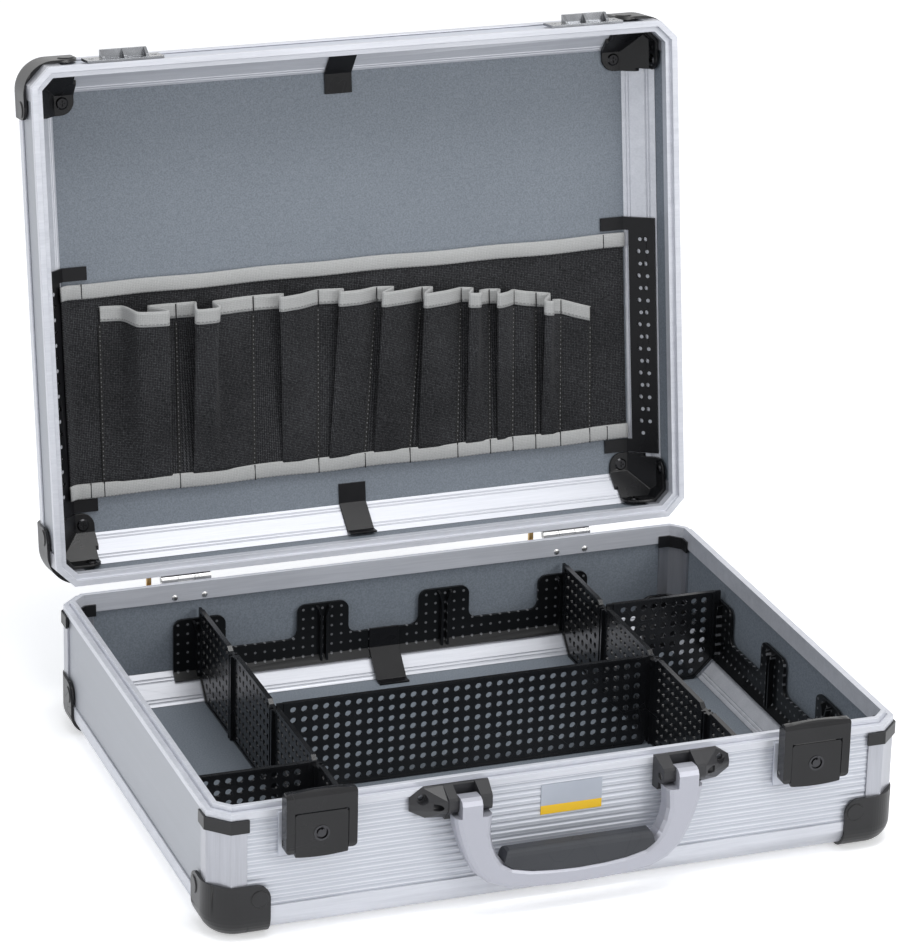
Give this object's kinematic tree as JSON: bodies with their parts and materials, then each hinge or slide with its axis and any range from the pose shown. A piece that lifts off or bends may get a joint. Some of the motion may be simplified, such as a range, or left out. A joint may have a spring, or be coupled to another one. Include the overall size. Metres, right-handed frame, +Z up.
{
  "type": "hard tool case",
  "caption": "Hard tool case with aluminium frame, hinged lid with tool pockets, carrying handle, hooded key latches and perforated slide-in dividers.",
  "frame": {"origin": "centre of the underside of the open case's bounding box, on the surface the case stands on", "axes": "+X to the right along the front, +Y from the front with its handle to the hinges, +Z up"},
  "size_m": [0.4504, 0.461, 0.4329],
  "materials": {
    "natural_aluminium": "satin",
    "ribbed_aluminium": "satin",
    "grey_lining": "fine grain",
    "black_plastic": "satin moulded",
    "black_sheet_metal": "semi-gloss powder coat",
    "silver_painted": "satin",
    "bright_steel": "polished",
    "black_screws": "blackened",
    "black_cloth": "woven, with grey binding"
  },
  "bodies": {
    "base": {"base_floor": "natural_aluminium", "base_front_panel": "ribbed_aluminium", "base_back_panel": "ribbed_aluminium", "base_left_panel": "natural_aluminium", "base_right_panel": "natural_aluminium", "base_lining": "grey_lining", "base_rim": "natural_aluminium", "base_edge_profiles": "natural_aluminium", "base_corner_columns": "natural_aluminium", "base_corner_guards": "black_plastic", "base_guard_plugs": "black_plastic", "base_rim_connectors": "black_plastic", "base_inner_corners": "black_plastic", "base_screws": "black_screws", "rail_front": "black_plastic", "rail_back": "black_plastic", "rail_left": "black_plastic", "rail_right": "black_plastic", "base_clip": "black_sheet_metal", "base_hinge_leaves": "bright_steel", "hinge_pins": "bright_steel", "handle_brackets": "black_plastic", "handle_pins": "bright_steel", "latch_plates": "bright_steel", "latch_lever_pins": "bright_steel"},
    "lid": {"lid_panel": "natural_aluminium", "lid_front_panel": "ribbed_aluminium", "lid_back_panel": "ribbed_aluminium", "lid_left_panel": "natural_aluminium", "lid_right_panel": "natural_aluminium", "lid_lining": "grey_lining", "lid_rim": "natural_aluminium", "lid_edge_profiles": "natural_aluminium", "lid_corner_columns": "natural_aluminium", "lid_corner_guards": "black_plastic", "lid_guard_plugs": "black_plastic", "lid_inner_corners": "black_plastic", "lid_screws": "black_screws", "lid_rail_left": "black_sheet_metal", "lid_rail_right": "black_sheet_metal", "lid_clips": "black_sheet_metal", "lid_hinge_leaves": "bright_steel", "lid_strikes": "black_plastic", "pocket_panel": "black_cloth"},
    "handle": {"handle_bail": "silver_painted", "handle_grip": "black_plastic"},
    "lever_left": {"latch_lever_left": "black_plastic", "hood_pin_left": "bright_steel"},
    "hood_left": {"latch_hood_left": "black_plastic"},
    "lock_left": {"lock_left": "black_screws"},
    "lever_right": {"latch_lever_right": "black_plastic", "hood_pin_right": "bright_steel"},
    "hood_right": {"latch_hood_right": "black_plastic"},
    "lock_right": {"lock_right": "black_screws"},
    "divider_left": {"divider_left": "black_plastic"},
    "divider_right": {"divider_right": "black_plastic"},
    "divider_centre": {"divider_centre": "black_plastic"},
    "divider_front_left": {"divider_front_left": "black_plastic"},
    "divider_back_right": {"divider_back_right": "black_plastic"}
  },
  "joints": [
    {"name": "lid_hinge", "type": "hinge", "parent": "base", "child": "lid", "pos_m": [0, 0.13459, 0.0851], "axis": [-1, 0, 0], "range_deg": [-98.3, 0]},
    {"name": "handle_swing", "type": "hinge", "parent": "base", "child": "handle", "pos_m": [0, -0.21991, 0.074], "axis": [-1, 0, 0], "range_deg": [0, 90]},
    {"name": "latch_lever_left", "type": "hinge", "parent": "base", "child": "lever_left", "pos_m": [-0.159, -0.21691, 0.078], "axis": [-1, 0, 0], "range_deg": [-4, 92]},
    {"name": "latch_hood_left", "type": "hinge", "parent": "lever_left", "child": "hood_left", "pos_m": [-0.159, -0.21691, 0.0635], "axis": [1, 0, 0], "range_deg": [-6, 138]},
    {"name": "lock_left", "type": "hinge", "parent": "lever_left", "child": "lock_left", "pos_m": [-0.159, -0.22241, 0.0703], "axis": [0, -1, 0], "range_deg": [0, 90]},
    {"name": "latch_lever_right", "type": "hinge", "parent": "base", "child": "lever_right", "pos_m": [0.159, -0.21691, 0.078], "axis": [-1, 0, 0], "range_deg": [-4, 92]},
    {"name": "latch_hood_right", "type": "hinge", "parent": "lever_right", "child": "hood_right", "pos_m": [0.159, -0.21691, 0.0635], "axis": [1, 0, 0], "range_deg": [-6, 138]},
    {"name": "lock_right", "type": "hinge", "parent": "lever_right", "child": "lock_right", "pos_m": [0.159, -0.22241, 0.0703], "axis": [0, -1, 0], "range_deg": [0, 90]},
    {"name": "divider_left_slide", "type": "slide", "parent": "base", "child": "divider_left", "axis": [0, 0, 1], "range_m": [0, 0.065]},
    {"name": "divider_right_slide", "type": "slide", "parent": "base", "child": "divider_right", "axis": [0, 0, 1], "range_m": [0, 0.065]},
    {"name": "divider_centre_slide", "type": "slide", "parent": "base", "child": "divider_centre", "axis": [0, 0, 1], "range_m": [0, 0.065]},
    {"name": "divider_front_left_slide", "type": "slide", "parent": "base", "child": "divider_front_left", "axis": [0, 0, 1], "range_m": [0, 0.065]},
    {"name": "divider_back_right_slide", "type": "slide", "parent": "base", "child": "divider_back_right", "axis": [0, 0, 1], "range_m": [0, 0.065]}
  ],
  "couplings": [
    {"joint": "latch_hood_left", "follows": "latch_lever_left", "ratio": 1.5},
    {"joint": "latch_hood_right", "follows": "latch_lever_right", "ratio": 1.5}
  ]
}
